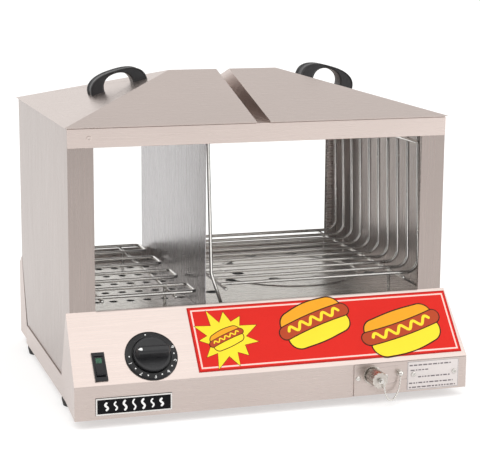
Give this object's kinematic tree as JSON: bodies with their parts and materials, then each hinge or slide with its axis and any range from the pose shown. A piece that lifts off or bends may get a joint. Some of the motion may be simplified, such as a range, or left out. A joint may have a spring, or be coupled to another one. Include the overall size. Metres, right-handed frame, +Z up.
{
  "type": "countertop hot dog steamer",
  "caption": "Top-loading countertop steamer with two hipped lift-off lids, glazed cabinet, bun and hot dog racks, water pan, sloping control panel and front drain.",
  "frame": {"origin": "centre of the footprint's bounding box, on the surface the feet stand on", "axes": "+X to the right along the front, +Y from the control panel to the back, +Z up"},
  "size_m": [0.46, 0.438, 0.3696],
  "materials": {
    "brushed_steel": "brushed",
    "inner_steel": "satin",
    "clear_glass": "polished",
    "chrome_wire": "polished",
    "fasteners": "polished",
    "drain_metal": "satin",
    "element_sheath": "oxidised",
    "thermostat_metal": "satin",
    "copper_tube": "satin",
    "black_plastic": "fine texture",
    "knob_plastic": "satin",
    "green_lens": "translucent",
    "ceramic": "matte",
    "wire_insulation": "matte",
    "rubber": "matte",
    "banner_print": "gloss print",
    "badge_print": "gloss print",
    "label_print": "satin print"
  },
  "bodies": {
    "housing": {"base_housing": "brushed_steel", "left_side_panel": "brushed_steel", "right_side_panel": "brushed_steel", "front_top_rail": "brushed_steel", "rear_top_rail": "brushed_steel", "centre_bar": "brushed_steel", "rear_panel": "brushed_steel", "rear_cover": "brushed_steel", "drain_panel": "brushed_steel", "base_pan": "inner_steel", "front_glass_channel": "inner_steel", "rear_glass_channel": "inner_steel", "pan_rails": "inner_steel", "water_pan": "inner_steel", "bun_tray": "inner_steel", "dog_tray": "inner_steel", "divider": "inner_steel", "heater_clamps": "inner_steel", "drain_pipe": "inner_steel", "front_glass": "clear_glass", "rear_glass": "clear_glass", "bun_rack": "chrome_wire", "dog_rack": "chrome_wire", "dog_rack_side": "chrome_wire", "dog_rack_loop": "chrome_wire", "rear_cover_screws": "fasteners", "panel_screws": "fasteners", "foot_screws": "fasteners", "foot_nuts": "fasteners", "chain_stud": "fasteners", "drain_chain": "fasteners", "drain_fitting": "drain_metal", "drain_locknut": "drain_metal", "heating_element": "element_sheath", "thermostat_body": "thermostat_metal", "thermostat_bulb": "copper_tube", "switch_housing": "black_plastic", "cord_gland": "black_plastic", "dial_plate": "knob_plastic", "terminal_block": "ceramic", "wiring_harness": "wire_insulation", "feet": "rubber", "banner": "banner_print", "name_plate": "badge_print", "info_plate": "label_print"},
    "left_lid": {"left_lid": "brushed_steel", "left_lid_rim": "inner_steel", "left_handle": "black_plastic", "left_handle_screws": "fasteners"},
    "right_lid": {"right_lid": "brushed_steel", "right_lid_rim": "inner_steel", "right_handle": "black_plastic", "right_handle_screws": "fasteners"},
    "knob": {"thermostat_knob": "knob_plastic", "thermostat_shaft": "thermostat_metal"},
    "rocker": {"power_rocker": "black_plastic", "power_lens": "green_lens"},
    "drain_cap": {"drain_cap": "drain_metal", "cap_washer": "rubber", "cap_swivel": "fasteners"}
  },
  "joints": [
    {"name": "left_lid_lift", "type": "slide", "parent": "housing", "child": "left_lid", "axis": [0, 0, 1], "range_m": [0, 0.15]},
    {"name": "right_lid_lift", "type": "slide", "parent": "housing", "child": "right_lid", "axis": [0, 0, 1], "range_m": [0, 0.15]},
    {"name": "thermostat_turn", "type": "hinge", "parent": "housing", "child": "knob", "pos_m": [-0.14, -0.16865, 0.07072], "axis": [0, -0.745, 0.6671], "range_deg": [-83, 198]},
    {"name": "power_switch_rock", "type": "hinge", "parent": "housing", "child": "rocker", "pos_m": [-0.199, -0.17283, 0.06305], "axis": [1, 0, 0], "range_deg": [0, 14]},
    {"name": "drain_cap_turn", "type": "hinge", "parent": "housing", "child": "drain_cap", "pos_m": [0.113, -0.189, 0.034], "axis": [0, -1, 0], "range_deg": [0, 1080]}
  ]
}
